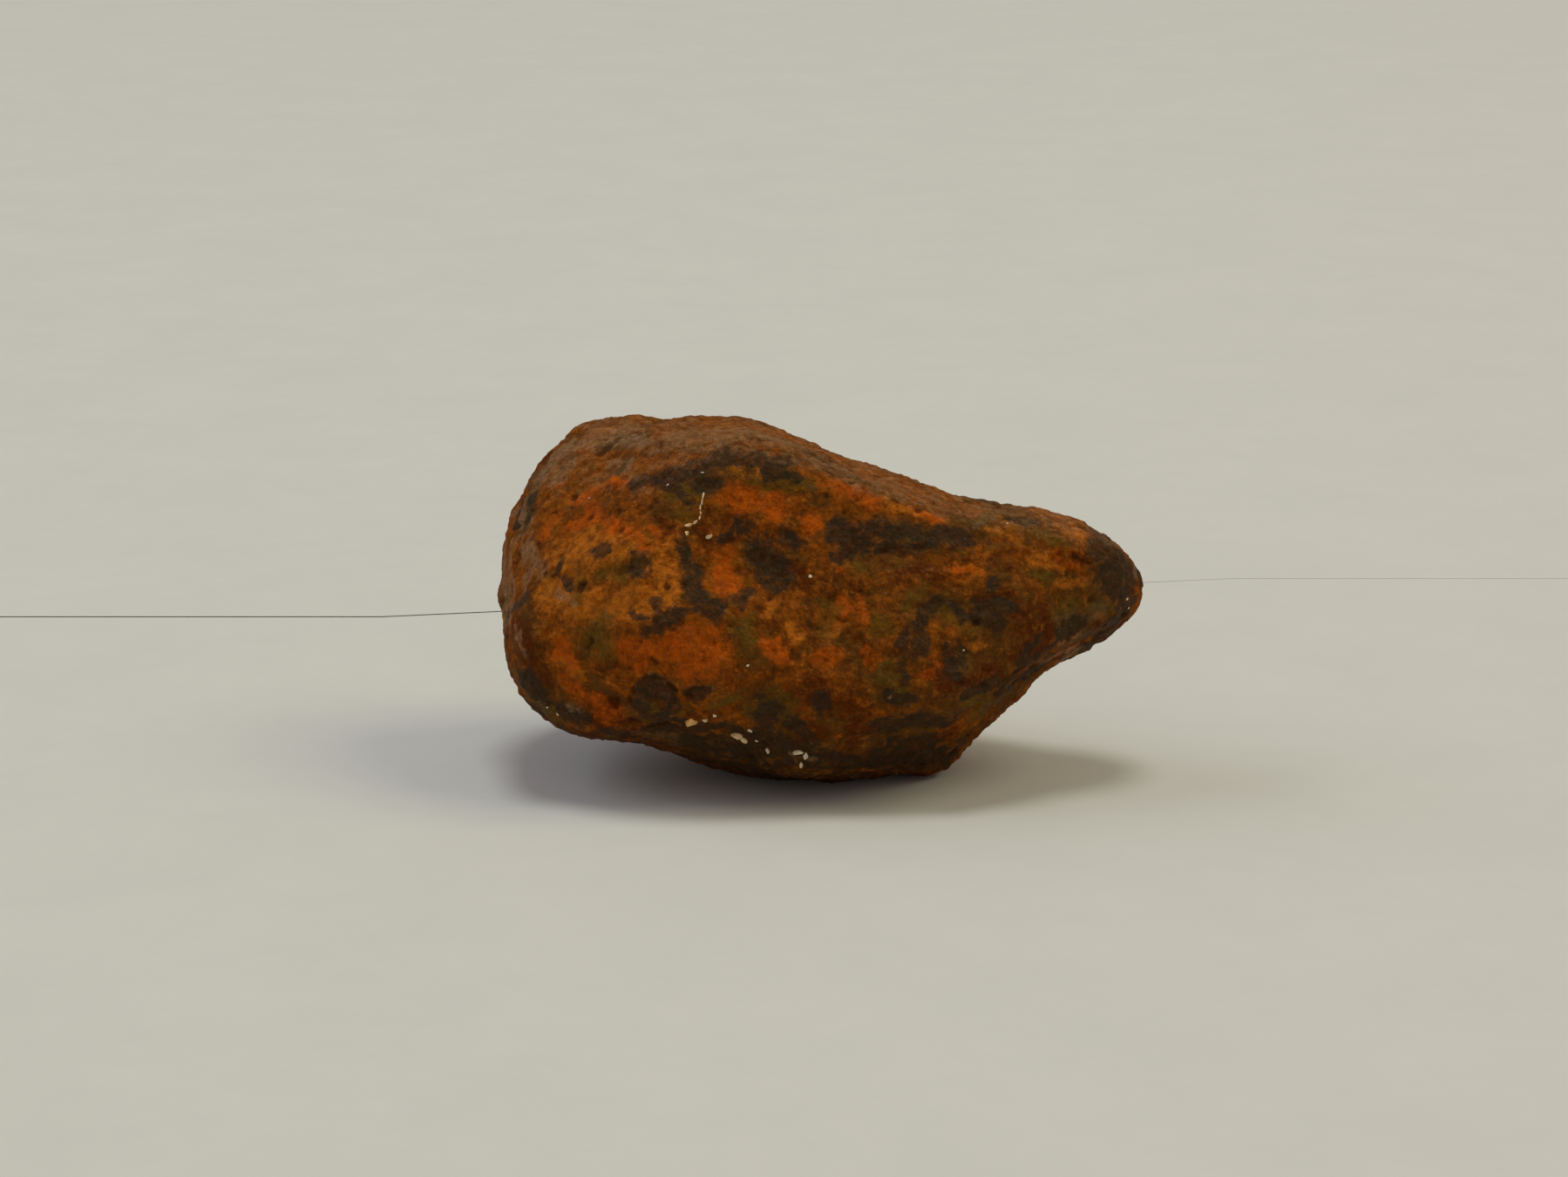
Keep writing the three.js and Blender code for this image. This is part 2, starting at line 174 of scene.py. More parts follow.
        1: [(8, -6.8, 9.2, -7.8)],
        1.1: [(-16.5, 0.2), (12.7, -1.9, 14.1, -2.3, 15.6, -2.6)],
        1.2: [(-15.7, -3.7, -14.3, -4.7)],
    },
    # Grey-brown dust; the thin strokes over the tops of the knobs are painted highlights, and the
    # strokes on the lower left are partly painted light.
    "drab": {
        0.3: [(-11.6, -7.9, -10.6, -7.3, -9.4, -7.7), (-7, -7.9, -6.3, -8.1)],
        0.4: [(-11.3, -7.9, -10.4, -8.1), (3.9, 9.9, 7.4, 8.4), (14.9, 5.1, 17.4, 6.1)],
        0.5: [(-17.2, -9.9), (-14, 11.4, -11.2, 11.9), (28, 2.5, 28.5, 1.4)],
        0.6: [(-22.4, 2.5, -22.6, -1.1), (-21.7, 6.1, -21, 5.3), (-21, -8.2, -21.7, -7),
         (-20.9, -8.1, -18.8, -10.5), (-20.3, 8.9, -18.9, 10.3, -17.4, 11.4),
         (-20.2, 8.2, -20.9, 5.3), (-19.1, -10.9, -16.8, -11.7), (-17.9, 11.4, -19.5, 9.3),
         (-14.6, 11.7, -11.5, 12.3), (-12.6, 10.3, -14, 9.1), (16.2, -9.8, 18.3, -8.1),
         (19.7, -6.5, 22.1, -5.1, 24.6, -3.6), (22.9, -4.6, 25.4, -3.4), (25, 5.3, 28.1, 1.6),
         (25.4, 5.3, 27.1, 3.7)],
        0.7: [(-14, -12, -11.9, -11.7)],
        0.8: [(22.6, -2.9, 25.4, -1.8)],
        0.9: [(-11.1, -11.7, -7.7, -12.3, -4.5, -13.1), (-2.4, 12.7, 0.4, 11.9, 3.5, 10.2)],
    },
    # Dark crust; the strokes along the bottom edge are painted shade under the belly.
    "dark": {
        0.4: [(-17.7, 0.8, -17.2, 0.2), (-12, -1.8, -11.2, -2.2), (6, -11.7), (7.1, 2.7, 8.8, 3.2),
         (17.6, -7.9, 18.7, -6.9, 20.1, -6), (19.7, -6, 21.4, -4.7), (20.4, -6.5, 22.1, -5.8),
         (22.1, -5.8, 24.6, -4.4, 27.1, -2.6)],
        0.5: [(-20.2, 7.7, -20.6, 6), (-18.2, 1.4, -17.8, 2.1), (-10.6, -1.1, -10.1, -1.6),
         (-4.3, 4.4, -5.2, 4), (5.3, 3, 4.2, 2.5), (12.2, -1.1, 11, -2.7, 9.3, -4.6),
         (14.1, -1.8, 15.2, -2.3), (24.6, -4.7, 26.1, -3.7), (28, -0.9, 27.8, -1.9, 27.1, -2.6)],
        0.6: [(-22.3, -2.3, -21, -0.8), (-21.6, 5.3, -21, 5.7), (-21, 7.2, -21.5, 5.3),
         (-21, -7.4, -20.2, -8.5), (-20.9, -8.9, -19.3, -10.6), (-20.6, -7.1, -20.2, -7.9),
         (-20.5, -7.6, -19.9, -8.8), (-15.4, 3, -14.6, 3.3), (-14.7, -11.4, -12.6, -12),
         (-11.1, -3.4), (-10.8, 8.7, -10.4, 8.6), (-8.2, 8.1, -7.7, 7.1), (-7.4, -8.6, -6.6, -8.4),
         (-7, 8.6, -5.3, 8.4), (-3.7, 5.3, -3.1, 4.8), (-2.9, -0.1, -3.8, -1.1),
         (-1.4, 9.5, 1.1, 9.1), (0.4, -10.6, 1.8, -11.6), (7.8, 3.3, 10.6, 3.3),
         (8.5, -8.8, 10.2, -9.2), (9.5, -5.8, 10, -7.1), (11.3, -14.3, 8.5, -14.7),
         (11.3, -4.2, 10.6, -5.3), (12.5, -0.9, 13.8, -1.5), (13.2, -13.5, 14.4, -12.4),
         (13.4, -6, 13.8, -7), (13.7, -4.6, 14.1, -6.3), (14.6, -8.8, 16.9, -7.7),
         (14.8, -2.2, 16, -2.7), (16.2, -1.8, 15.5, -1.1), (16.5, 0.6, 16.9, 0.2),
         (17.6, -8.1, 20.4, -6.3), (18.3, -1.8, 16.9, -1.2), (18.4, 5.7, 19.7, 5.4),
         (18.7, 5.5, 20.1, 5.3), (20.4, -4.2, 19, -6), (27.6, -1.9, 26.1, -2.9),
         (28.5, 2.5, 28.8, 0.7)],
        0.7: [(-19.8, -8.2, -19.1, -9.2), (-10.4, -10.9, -8.4, -11.4), (-8.4, -10.7, -7, -11.3),
         (-2.1, -13.4, -4.9, -12.7), (0.4, -14, 4.2, -14.4, 8.5, -14.3, 11.6, -13.8),
         (2.1, -13.5, 6, -14.1, 10.6, -14), (16.6, -1.9, 17.4, -2.9), (22.1, -3.7, 23.9, -2.9)],
        0.8: [(-17.9, -9.8, -16.3, -10.5), (-14, -12.3, -11.5, -12.4),
         (-12, -9.5, -11.3, -8.4, -10.4, -7.9, -9.3, -8.6, -9.1, -9.6),
         (-10.8, -10.3, -9.4, -10.5), (-10.4, -2.7, -8.7, -2),
         (-10.1, -13, -7, -13.8, -4.2, -14.3, -1, -15), (-9.1, -11.3, -11.2, -11.3),
         (-8.2, 3.2, -7.3, 1.6, -7.2, -0.2), (-7.7, -11.3, -4.9, -11), (-6.9, -1.2, -5.2, -1.6),
         (0.2, 4.2, 1.1, 3.7), (3.2, -8.8, 2.8, -9.6), (9.9, -12.8, 7.8, -13.1),
         (10.6, 3.9, 13, 4.4, 14.6, 4.1), (14.1, -12.8, 13.2, -14.1), (27.6, 0.2, 27.3, -1.5)],
        0.9: [(-7, -12.1, -3.5, -12.4, 0, -13.4), (4.4, 5.1, 7.1, 4.8, 10.3, 4.6),
         (4.4, 4.4, 6.4, 3.3), (26.7, 2.5, 27, 0.2)],
        1: [(-11.8, 2.2), (-11.6, 8.5, -10.5, 8.7), (-7, -13.5, -2.1, -15, 2.8, -15.4),
         (-4.9, 10.7, -2.1, 10.7, 0.4, 10.2), (-3.5, -11.7, -0.7, -12.4, 2.1, -13.1),
         (7.1, -13.5, 13, -13.3), (25.7, 4.1, 26.9, 2.6, 27.7, 0.9)],
        1.1: [(-9.4, 9.1, -7.3, 9.8, -5, 10.6), (-7.7, -12.4, -4.2, -13.4, -0.7, -14.1),
         (-1.4, -9.6, -1.5, -11.3), (8.5, -12.6, 12, -12.4), (25.4, 3.7, 26, 1.8, 26.4, -0.1),
         (28, 1.4, 28, -0.9)],
        1.2: [(-1.9, 3, -0.9, 1.3, -0.5, 0.5)],
        1.3: [(7.9, -11, 10.6, -10.6, 13, -10.6)],
    },
    # Pale dust and painted sheen: the strokes on the crown, the upper edges and the bevels are
    # partly dust and partly painted sheen where these catch the light, the thinnest ones along
    # edges are painted highlights, and those on the lower left add painted light there.
    "haze": {
        0.1: [(8.5, -8.8, 11, -8.8)],
        0.2: [(-19.2, -9.2), (-17.5, -9.7, -17, -10), (0.4, -13.4, 2.5, -13.8)],
        0.3: [(-21.6, -3.2, -20.9, -5.4), (-17.4, -9.6, -17, -10), (22.1, -4.6, 23.9, -3.8)],
        0.4: [(-23.4, 1.8, -23.1, -1.1), (-22.8, -1.8, -22.4, -3), (-22.8, 5.3, -21.6, 6.2),
         (-22.1, 3.5, -22.1, 1.4, -21.8, -0.4), (-21.9, -1.3, -22.1, -3.4),
         (-20.9, 7.1, -21.3, 4.8), (-20.3, 4.4, -21, 3.2), (-20.2, 5.3, -21.7, 3.7),
         (-17, -1.1, -18.2, -0.4), (-14, 10, -12.6, 10.3), (-10.8, 10.9, -7.7, 11.4, -4.2, 11.7),
         (7.1, 8.2, 9.9, 7.4, 13, 6.4), (9.2, 8.1, 12.7, 7.1), (20.4, -7.1, 22.1, -6, 23.6, -5.1),
         (24.6, 5.5, 26.7, 3.7), (28, 2.5, 28.4, 1.1)],
        0.5: [(-22.6, 2.5, -22.4, 0.2), (1.8, 10.7, 4.9, 9.6, 7.8, 8.5), (21.3, -5.8, 23.3, -4.8)],
        0.6: [(-21, 2.5), (-20.7, 1.8, -20.9, 0.2), (-20.6, 3.3, -19.8, 1.6),
         (-18.9, 11.9, -20.2, 10.5), (-14.7, 12.3, -13.7, 12.5)],
        0.7: [(-1.4, 12.3, 0.4, 11.7)],
        0.8: [(-18.2, 9.1, -17.2, 10.2), (-9.1, 12.3, -3.5, 12.3)],
        1: [(-22.6, 4, -22.6, 1.2, -22.2, -1.1), (-14.7, 12.3, -11.2, 11.9),
         (-9, 11.9, -6.1, 12.7, -3.5, 12.7)],
        1.1: [(-17.7, 11.4, -19.5, 9.1), (-17.2, 11.2, -14.7, 12.4, -11.5, 13)],
    },
}

# What each kind of patch is like: how strongly it strays outside its patches, how often it is
# drawn where the front view doesn't reach and along the edge of that view, the raggedness, noise
# scale and softness of its edge, and its greatest strength.
KINDS = {
    "umber": (0.16, 26, 30, 2.2, 500.0, 0.3, 1),
    "maroon": (0.14, 18, 12, 2.6, 700.0, 0.22, 1),
    "ochre": (0.12, 18, 0, 2.6, 900.0, 0.4, 0.8),
    "bright": (0.1, 24, 0, 1.8, 800.0, 0.26, 1),
    "olive": (0.18, 24, 12, 2.6, 700.0, 0.4, 0.85),
    "drab": (0.1, 16, 22, 2.4, 1000.0, 0.3, 0.75),
    "dark": (0.12, 32, 30, 1.9, 800.0, 0.16, 1),
    # Pale dust, partly painted sheen and painted highlights.
    "haze": (0, 6, 10, 2.2, 900.0, 0.34, 0.8),
}

# How many patches and grains are scattered where the front view doesn't reach.
FAR_PATCHES, FAR_GRAINS = 340, 40

# Small relief on the front: height (below 0 is sunk), half-width, and the points of a line.
FRONT_RELIEF = [
    # Crease between the two humps of the crown, and a short one in front of it.
    (-0.16, 0.35, [(-10.3, 13.5), (-12.3, 12.5), (-14.1, 11.7), (-14.7, 10.9)]),
    (-0.1, 0.25, [(-11.4, 11.7), (-9.4, 11.6)]),
    # Cracks and a nick along the crown.
    (-0.22, 0.2, [(3.2, 9.8), (4.2, 9.1)]),
    (-0.18, 0.2, [(5.4, 8.6), (6.4, 9)]),
    (-0.18, 0.2, [(11, 6.9), (12.7, 6.9)]),
    (-0.4, 0.25, [(17.1, 6.9), (17, 6.3)]),
    # Groove on the right.
    (-0.14, 0.22, [(7.5, 2.9), (8.8, 3.2), (11.1, 3.3)]),
    # Hole with a pale rim, and a hole beside the knob.
    (-0.35, 0.32, [(-9.4, 0.2)]),
    (0.14, 0.3, [(-10.3, 0.6), (-9.8, 1.2), (-9, 1.1), (-8.5, 0.4), (-8.9, -0.4)]),
    (-0.45, 0.32, [(-13.6, -9.3)]),
    # A knob, the groove over it and the gap below it, and a smaller knob beside it.
    (0.28, 1.2, [(-10.5, -9.2)]),
    (-0.18, 0.32, [(-12.6, -9.2), (-12.3, -8.1), (-11.1, -7.2), (-9.8, -7.3), (-8.8, -8.3)]),
    (-0.2, 0.4, [(-12.2, -10.8), (-10.8, -11.3), (-9.4, -10.9)]),
    (0.16, 0.6, [(-6.8, -8.9)]),
    (-0.12, 0.28, [(-7.8, -8.6), (-7.1, -7.9), (-6.2, -8.1)]),
    # Hollows of the yellowish area on the left.
    (-0.1, 0.8, [(-12.2, 1.8)]),
    (-0.1, 0.8, [(-16.6, 0.4)]),
    (-0.08, 0.8, [(-15.2, -4.2)]),
    # Creases below the tip.
    (-0.2, 0.3, [(16.7, -8.3), (18.4, -7), (20, -6.2)]),
    (-0.15, 0.25, [(14, -7.6), (16.2, -7.8)]),
    (-0.12, 0.22, [(23.2, 2.7), (24.6, 2.1)]),
]

# Pale grains on the front: length, width over length, place, turn in degrees, and tint from
# 0, whitish, to 1, orange.
FRONT_GRAINS = [
    (1.25, 0.8, (-7.5, -10.7), 60, 0.9),
    (0.55, 0.7, (-6.4, -10.6), 20, 0.2),
    (0.5, 0.6, (-5.6, -10.3), 80, 0),
    (1.05, 0.7, (-3.8, -11.8), 35, 0.5),
    (0.8, 0.6, (-3.2, -12.2), 100, 0.4),
    (0.45, 0.8, (-2.7, -11.4), 10, 0.2),
    (0.3, 0.7, (-2.2, -12.3), 0, 0.2),
    (0.7, 0.4, (-1.4, -13.1), 90, 0.1),
    (1.0, 0.5, (1.2, -13.2), 10, 0),
    (0.8, 0.6, (1.7, -13.5), 70, 0),
    (0.7, 0.6, (1.4, -14.2), 95, 0.1),
    (0.3, 0.7, (-2.9, -6.2), 30, 0),
    (0.35, 0.8, (2.1, 1), 0, 0),
    (0.75, 0.45, (-7.7, 5.1), 15, 0.6),
    (0.5, 0.7, (-7.8, 4.5), 60, 0.8),
    (0.6, 0.6, (-6.05, 4.2), 30, 0.4),
    (0.65, 0.3, (-6.5, 7.5), 75, 0.25),
    (0.6, 0.28, (-6.6, 7.0), 80, 0.3),
    (0.5, 0.35, (-6.75, 6.5), 88, 0.3),
    (0.45, 0.4, (-6.7, 6.1), 95, 0.25),
    (0.5, 0.35, (-6.8, 5.7), 80, 0.3),
    (0.6, 0.4, (-7.2, 5.3), 35, 0.4),
    (0.35, 0.4, (-9.4, 8.4), 60, 0),
    (0.3, 0.4, (-6.6, 9.4), 0, 0),
    (0.25, 0.8, (-15.7, 7.3), 30, 0),
    (0.25, 0.8, (18, 5.3), 0, 0),
    (0.3, 0.7, (27.7, -0.9), 0, 0.1),
    (0.25, 0.7, (27.8, -1.6), 50, 0.1),
    (0.2, 0.8, (14.5, -5), 0, 0.1),
    (0.3, 0.6, (-19.1, -9.6), 40, 0.2),
    (0.3, 0.7, (-18.3, -10.2), 80, 0.2),
]


# ---- Settings ----


def length(name, description, millimetres):
    """A length that the sidebar shows in scene units."""
    return bpy.props.FloatProperty(
        name=name, description=description, default=millimetres * MM, unit="LENGTH",
        precision=5)


def colour(name, description, value):
    return bpy.props.FloatVectorProperty(
        name=name, description=description, default=value, subtype="COLOR", size=3,
        min=0, max=1)


def number(name, description, value):
    return bpy.props.FloatProperty(name=name, description=description, default=value)


class SkinSettings(bpy.types.PropertyGroup):
    """Sizes of the fine relief of the skin"""

    grid: length("Grid", "Spacing of the skin's mesh", 0.25)
    swells: length("Swells", "Height of the unevenness about 3 mm across", 0.14)
    lumps: length("Lumps", "Height of the unevenness about 1 mm across", 0.13)
    crumbs: length("Crumbs", "Height of the finest rust crumbs", 0.12)
    flakes: length("Flakes", "Height of the steps where rust has flaked off", 0.09)
    streaks: length("Streaks", "Height of the fine parallel ribs", 0.1)
    pits: length("Pits", "Depth of the small pits", 0.22)
    seed: bpy.props.IntProperty(name="Seed", description="Picks everything random", default=7)


class ColourSettings(bpy.types.PropertyGroup):
    """Colours of the skin and of the grains on it"""

    deep: colour("Deep rust", "Darker half of the ground colour", (0.105, 0.026, 0.002))
    rust: colour("Rust", "Lighter half of the ground colour", (0.33, 0.078, 0.0035))
    # Also painted as shade over the lower and right parts.
    umber: colour("Umber", "Broad brown areas", (0.10, 0.040, 0.007))
    maroon: colour("Maroon", "Dark red patches", (0.085, 0.0135, 0.0015))
    ochre: colour("Ochre", "Yellowish patches", (0.58, 0.163, 0.012))
    bright: colour("Bright rust", "Fresh orange patches", (0.48, 0.086, 0.0032))
    olive: colour("Olive", "Greenish brown patches", (0.13, 0.07, 0.008))
    # Grey-brown dust, also used for painted highlights on the knobs and painted light on the lower
    # left.
    drab: colour("Drab dust", "Grey-brown dust on the edges", (0.125, 0.076, 0.032))
    # Dark crust, also painted as shade on the underside and along the bottom edge.
    dark: colour("Dark crust", "Dark grey patches", (0.036, 0.0225, 0.0115))
    # Pale dust, also used as painted sheen and painted highlights on the upper edges and bevels.
    haze: colour("Haze", "Pale dust on the upper edges", (0.30, 0.152, 0.066))
    grain: colour("Pale grain", "Mineral grains that cling to the skin", (0.85, 0.72, 0.48))


class StudioSettings(bpy.types.PropertyGroup):
    """Camera, lights and floor"""

    distance: length("Distance", "From the camera to the lump", 320)
    elevation: bpy.props.FloatProperty(
        name="Elevation", description="How far the camera looks down", subtype="ANGLE",
        unit="ROTATION", default=math.radians(15))
    lens: number("Lens", "Focal length in millimetres", 91.2)
    ceiling: number("Ceiling", "Power of the wide soft light above, in watts", 20)
    lamp: number("Lamp", "Power of the warm lamp on the right, in watts", 20)
    window: number("Window", "Power of the cool light on the left, in watts", 19)
    surround: number("Surround", "Strength of the light from all around", 0.25)


SETTINGS = {
    "meteorite_skin": SkinSettings,
    "meteorite_colours": ColourSettings,
    "meteorite_studio": StudioSettings,
}


# ---- Places on the lump ----


def view_axes(studio):
    """Camera place, target, forward, right and up of the front view."""
    target = Vector(VIEW_TARGET) * MM
    tilt = studio.elevation
    forward = Vector((0, math.cos(tilt), -math.sin(tilt)))
    up = Vector((0, math.sin(tilt), math.cos(tilt)))
    return target - forward * studio.distance, target, forward, Vector((1, 0, 0)), up


class Surface:
    """The solid's surface in millimetres, for finding places on it."""

    # Scattered places lie where rays from this far outside, towards this box, meet the surface.
    OUTSIDE, CORE = 80, ((-22, 22), (-4, 4), (8, 18))

    def __init__(self, lump, studio):
        corners = [v.co / MM for v in lump.data.vertices]
        faces = [tuple(p.vertices) for p in lump.data.polygons]
        self.tree = BVHTree.FromPolygons(corners, faces)
        eye, target, _, self.right, self.up = view_axes(studio)
        self.eye, self.target = eye / MM, target / MM

    def in_view(self, place):
        """The point and normal of the surface at a place of the front view."""
        aim = self.target + self.right * place[0] + self.up * place[1]
        point, normal, _, _ = self.tree.ray_cast(self.eye, (aim - self.eye).normalized())
        return point, normal

    def turned(self, degrees):
        """A direction in the front view, turned up from the right."""
        turn = math.radians(degrees)
        return self.right * math.cos(turn) + self.up * math.sin(turn)

    def along(self, places, step=0.3):
        """Points of the surface along a line of places of the front view."""
        dense = [places[0]]
        for a, b in zip(places, places[1:]):
            count = max(1, math.ceil(math.dist(a, b) / step))
            dense += [tuple(np.add(a, np.subtract(b, a) * k / count)) for k in range(1, count + 1)]
        hits = [self.in_view(place)[0] for place in dense]
        return [hit for hit in hits if hit is not None]

    def wander(self, start, heading, steps, dice, step=0.6, swerve=0.6):
        """Points of the surface along a wandering line."""
        points = [start]
        for _ in range(steps):
            turn = Vector([dice.uniform(-1, 1) for _ in range(3)])
            heading = (heading + swerve * turn).normalized()
            near, normal, _, _ = self.tree.find_nearest(points[-1] + heading * step)
            heading = (heading - normal * heading.dot(normal)).normalized()
            points.append(near)
        return points

    def scattered(self, count, dice, wanted):
        """Points and normals spread over the parts of the surface that are wanted."""
        found = []
        while len(found) < count:
            away = Vector([dice.gauss(0, 1) for _ in range(3)]).normalized()
            inner = Vector([dice.uniform(*span) for span in self.CORE])
            point, normal, _, _ = self.tree.ray_cast(inner + away * self.OUTSIDE, -away)
            if point is not None and wanted(point, normal):
                found.append((point, normal))
        return found

    def facing(self, point, normal):
        """1 where the surface faces the front view, below 0 where it is turned away."""
        return normal.dot((self.eye - point).normalized())


def nearness(points, line, width, reach=3):
    """Distance from each point to the nearest point of a line, in widths.

    It is infinite beyond the line's reach, which is also in widths."""
    line = np.array(line)
    near = np.full(len(points), np.inf)
    low, high = line.min(0) - reach * width, line.max(0) + reach * width
    inside = np.flatnonzero(((points > low) & (points < high)).all(1))
    gaps = points[inside, None, :] - line[None]
    near[inside] = np.sqrt((gaps ** 2).sum(2)).min(1) / width
    return near


# ---- Fine relief ----

# How far one seed moves the noise and the random spots to get to another's.
NOISE_SHIFT = 17.3
SPOT_SHIFT = 11.9


def noise_over(points, size, seed, octaves=1):
    """Smooth noise at each point, its swells about `size` across."""
    places = (points / size + NOISE_SHIFT * seed).tolist()
    if octaves == 1:
        return np.fromiter((noise.noise(p) for p in places), float, len(places))
    return np.fromiter((noise.fractal(p, 1, 2, octaves) for p in places), float, len(places))


def cells_over(points, size, seed):
    """Distance from each point to the nearest of random spots, in cell sizes."""
    places = (points / size + SPOT_SHIFT * seed).tolist()
    return np.fromiter((noise.voronoi(p)[0][0] for p in places), float, len(places))


def smooth_step(low, high, values):
    t = np.clip((values - low) / (high - low), 0, 1)
    return t * t * (3 - 2 * t)


def stretched(points, direction, factor):
    """Points drawn together along a direction, so that noise runs out into streaks."""
    direction = np.array(direction) / np.linalg.norm(direction)
    return points - np.outer(points @ direction, direction) * (1 - 1 / factor)


def steps_in(values, rounding=0.16):
    """Turns smooth values into rounded steps."""
    whole = np.floor(values)
    return whole + smooth_step(0.5 - rounding, 0.5 + rounding, values - whole)


class FineRelief:
    """Height of the skin's relief at every point, and how hollow each point is."""

    # How far across each kind of unevenness is, in millimetres, then the ways that the ribs run
    # and how many times as long as wide they are.
    SWELLS, LUMPS, CRUMBS, FLAKES = 3.1, 1.15, 0.5, 3.6
    SLANTED, LEVEL, RIB_LENGTH = (-0.86, -0.25, -0.45), (0.96, -0.1, -0.2), 7

    def __init__(self, points, surface, sizes):
        seed = sizes.seed
        mm = {name: getattr(sizes, name) / MM
              for name in ("swells", "lumps", "crumbs", "flakes", "streaks", "pits")}
        self.swells = mm["swells"] * noise_over(points, self.SWELLS, seed, 3)
        self.lumps = mm["lumps"] * noise_over(points, self.LUMPS, seed + 1, 2)
        self.crumbs = mm["crumbs"] * noise_over(points, self.CRUMBS, seed + 2)
        layers = 3 * noise_over(points, self.FLAKES, seed + 3, 4)
        self.flakes = mm["flakes"] * (steps_in(layers) - layers) * 0.9
        self.streaks = mm["streaks"] * self._streaks(points, seed + 4)
        self.pits = -mm["pits"] * self._pits(points, seed + 5)
        self.marks = np.zeros(len(points))
        for rise, width, places in FRONT_RELIEF:
            line = surface.along(places, step=0.15)
            if line:
                self.marks += rise * np.exp(-nearness(points, line, width) ** 2)

    def _streaks(self, points, seed):
        """Slanted ribs on the upper left, and level ones on the upper right."""
        slanted = noise_over(stretched(points, self.SLANTED, self.RIB_LENGTH), 0.55, seed, 2)
        level = noise_over(stretched(points, self.LEVEL, self.RIB_LENGTH), 0.6, seed + 1, 2)
        left = smooth_step(-6, -13, points[:, 0]) * smooth_step(14, 20, points[:, 2])
        right = smooth_step(-2, 8, points[:, 0]) * smooth_step(12, 19, points[:, 2])
        return left * slanted + right * level

    def _pits(self, points, seed):
        """Wide pits, and small ones half as far apart; some areas have none."""
        spread = noise_over(points, 5, seed)
        wide = cells_over(points, 2.9, seed) / (0.16 + 0.08 * spread)
        small = cells_over(points, 1.5, seed + 1) / (0.15 + 0.08 * spread)
        return (np.clip(1 - wide, 0, 1) ** 0.7 + 0.5 * np.clip(1 - small, 0, 1)) * (spread > -0.3)

    @property
    def height(self):
        return (self.swells + self.lumps + self.crumbs + self.flakes + self.streaks
                + self.pits + self.marks)

    @property
    def hollow(self):
        """0 on the raised crumbs, 1 in the pits and cracks."""
        small = self.lumps + self.crumbs + self.flakes + self.streaks
        return np.clip(0.5 - 2.2 * small - 2.6 * (self.pits + np.minimum(self.marks, 0)), 0, 1)


def fine_copy(lump, grid, name):
    """A smooth, evenly meshed copy of a node's solid."""
    mesh = lump.data.copy()
    mesh.materials.clear()
    whole = bmesh.new()
    whole.from_mesh(mesh)
    bmesh.ops.scale(whole, vec=(1 / MM,) * 3, verts=whole.verts)
    bmesh.ops.remove_doubles(whole, verts=whole.verts, dist=1e-3)
    whole.to_mesh(mesh)
    whole.free()
    piece = bpy.data.objects.new(name, mesh)
    bpy.context.scene.collection.objects.link(piece)
    finer = piece.modifiers.new("finer", "SUBSURF")
    finer.levels = 2
    even = piece.modifiers.new("even", "REMESH")
    even.mode = "VOXEL"
    even.voxel_size = grid / MM
    smooth = piece.modifiers.new("smooth", "SMOOTH")
    smooth.iterations = 5
    graph = bpy.context.evaluated_depsgraph_get()
    fine = bpy.data.meshes.new_from_object(piece.evaluated_get(graph))
    piece.modifiers.clear()
    piece.data = fine
    fine.name = name
    return piece


def read_places(mesh):
    """Every point of a mesh and the skin's direction there."""
    points, normals = (np.empty(len(mesh.vertices) * 3) for _ in range(2))
    mesh.vertices.foreach_get("co", points)
    mesh.vertex_normals.foreach_get("vector", normals)
    return points.reshape(-1, 3), normals.reshape(-1, 3)


def warped(points, size, amount, seed):
    """Points shifted a little, each its own way, so that what is measured from them wavers."""
    shifts = [noise_over(points, size, seed + k) for k in range(3)]
    return points + amount * np.stack(shifts, 1)


def patch_fields(points, normals, surface, seed):
    """For each kind of patch, 1 in the middle of its patches, 0.5 at their edge, 0 outside.

    Outside its patches each kind keeps a little strength, so that stray flecks of it show."""
    strays, far_chances, edge_chances = list(zip(*KINDS.values()))[:3]
    fields = {kind: stray * (1 + noise_over(points, 4.5, seed + 70 + k, 2))
              for k, (kind, stray) in enumerate(zip(KINDS, strays))}
    dice = random.Random(seed)
    lines = [(kind, width, surface.along(list(zip(line[::2], line[1::2]))))
             for kind, patches in FRONT_PATCHES.items()
             for width, middles in patches.items() for line in middles]
    unseen = surface.scattered(FAR_PATCHES, dice, lambda p, n: surface.facing(p, n) < 0.12)
    for point, normal in unseen:
        at_the_edge = surface.facing(point, normal) > -0.15
        kind = dice.choices(list(KINDS), edge_chances if at_the_edge else far_chances)[0]
        heading = Vector([dice.uniform(-1, 1) for _ in range(3)]).normalized()
        line = surface.wander(point, heading, dice.randint(0, 5), dice)
        widest = 2.2 if kind == "umber" else 1.3
        lines.append((kind, dice.uniform(0.4, widest), line))
    wavering = warped(points, size=1.7, amount=0.55, seed=seed + 50)
    wavering = warped(wavering, size=0.6, amount=0.22, seed=seed + 60)
    for kind, width, line in lines:
        if line:
            near = 1 - 0.5 * nearness(wavering, line, width)
            fields[kind] = np.maximum(fields[kind], near)
    upward = normals[:, 2]
    # Skin that faces up gets pale dust and painted sheen, lighter where light from above falls on
    # it.
    fields["haze"] = np.maximum(fields["haze"], 0.46 * smooth_step(0.6, 0.95, upward))
    # Painted shade: skin that faces down is darkened towards the dark crust colour.
    fields["dark"] = np.maximum(fields["dark"], 0.52 * smooth_step(-0.4, -0.9, upward))
    return fields


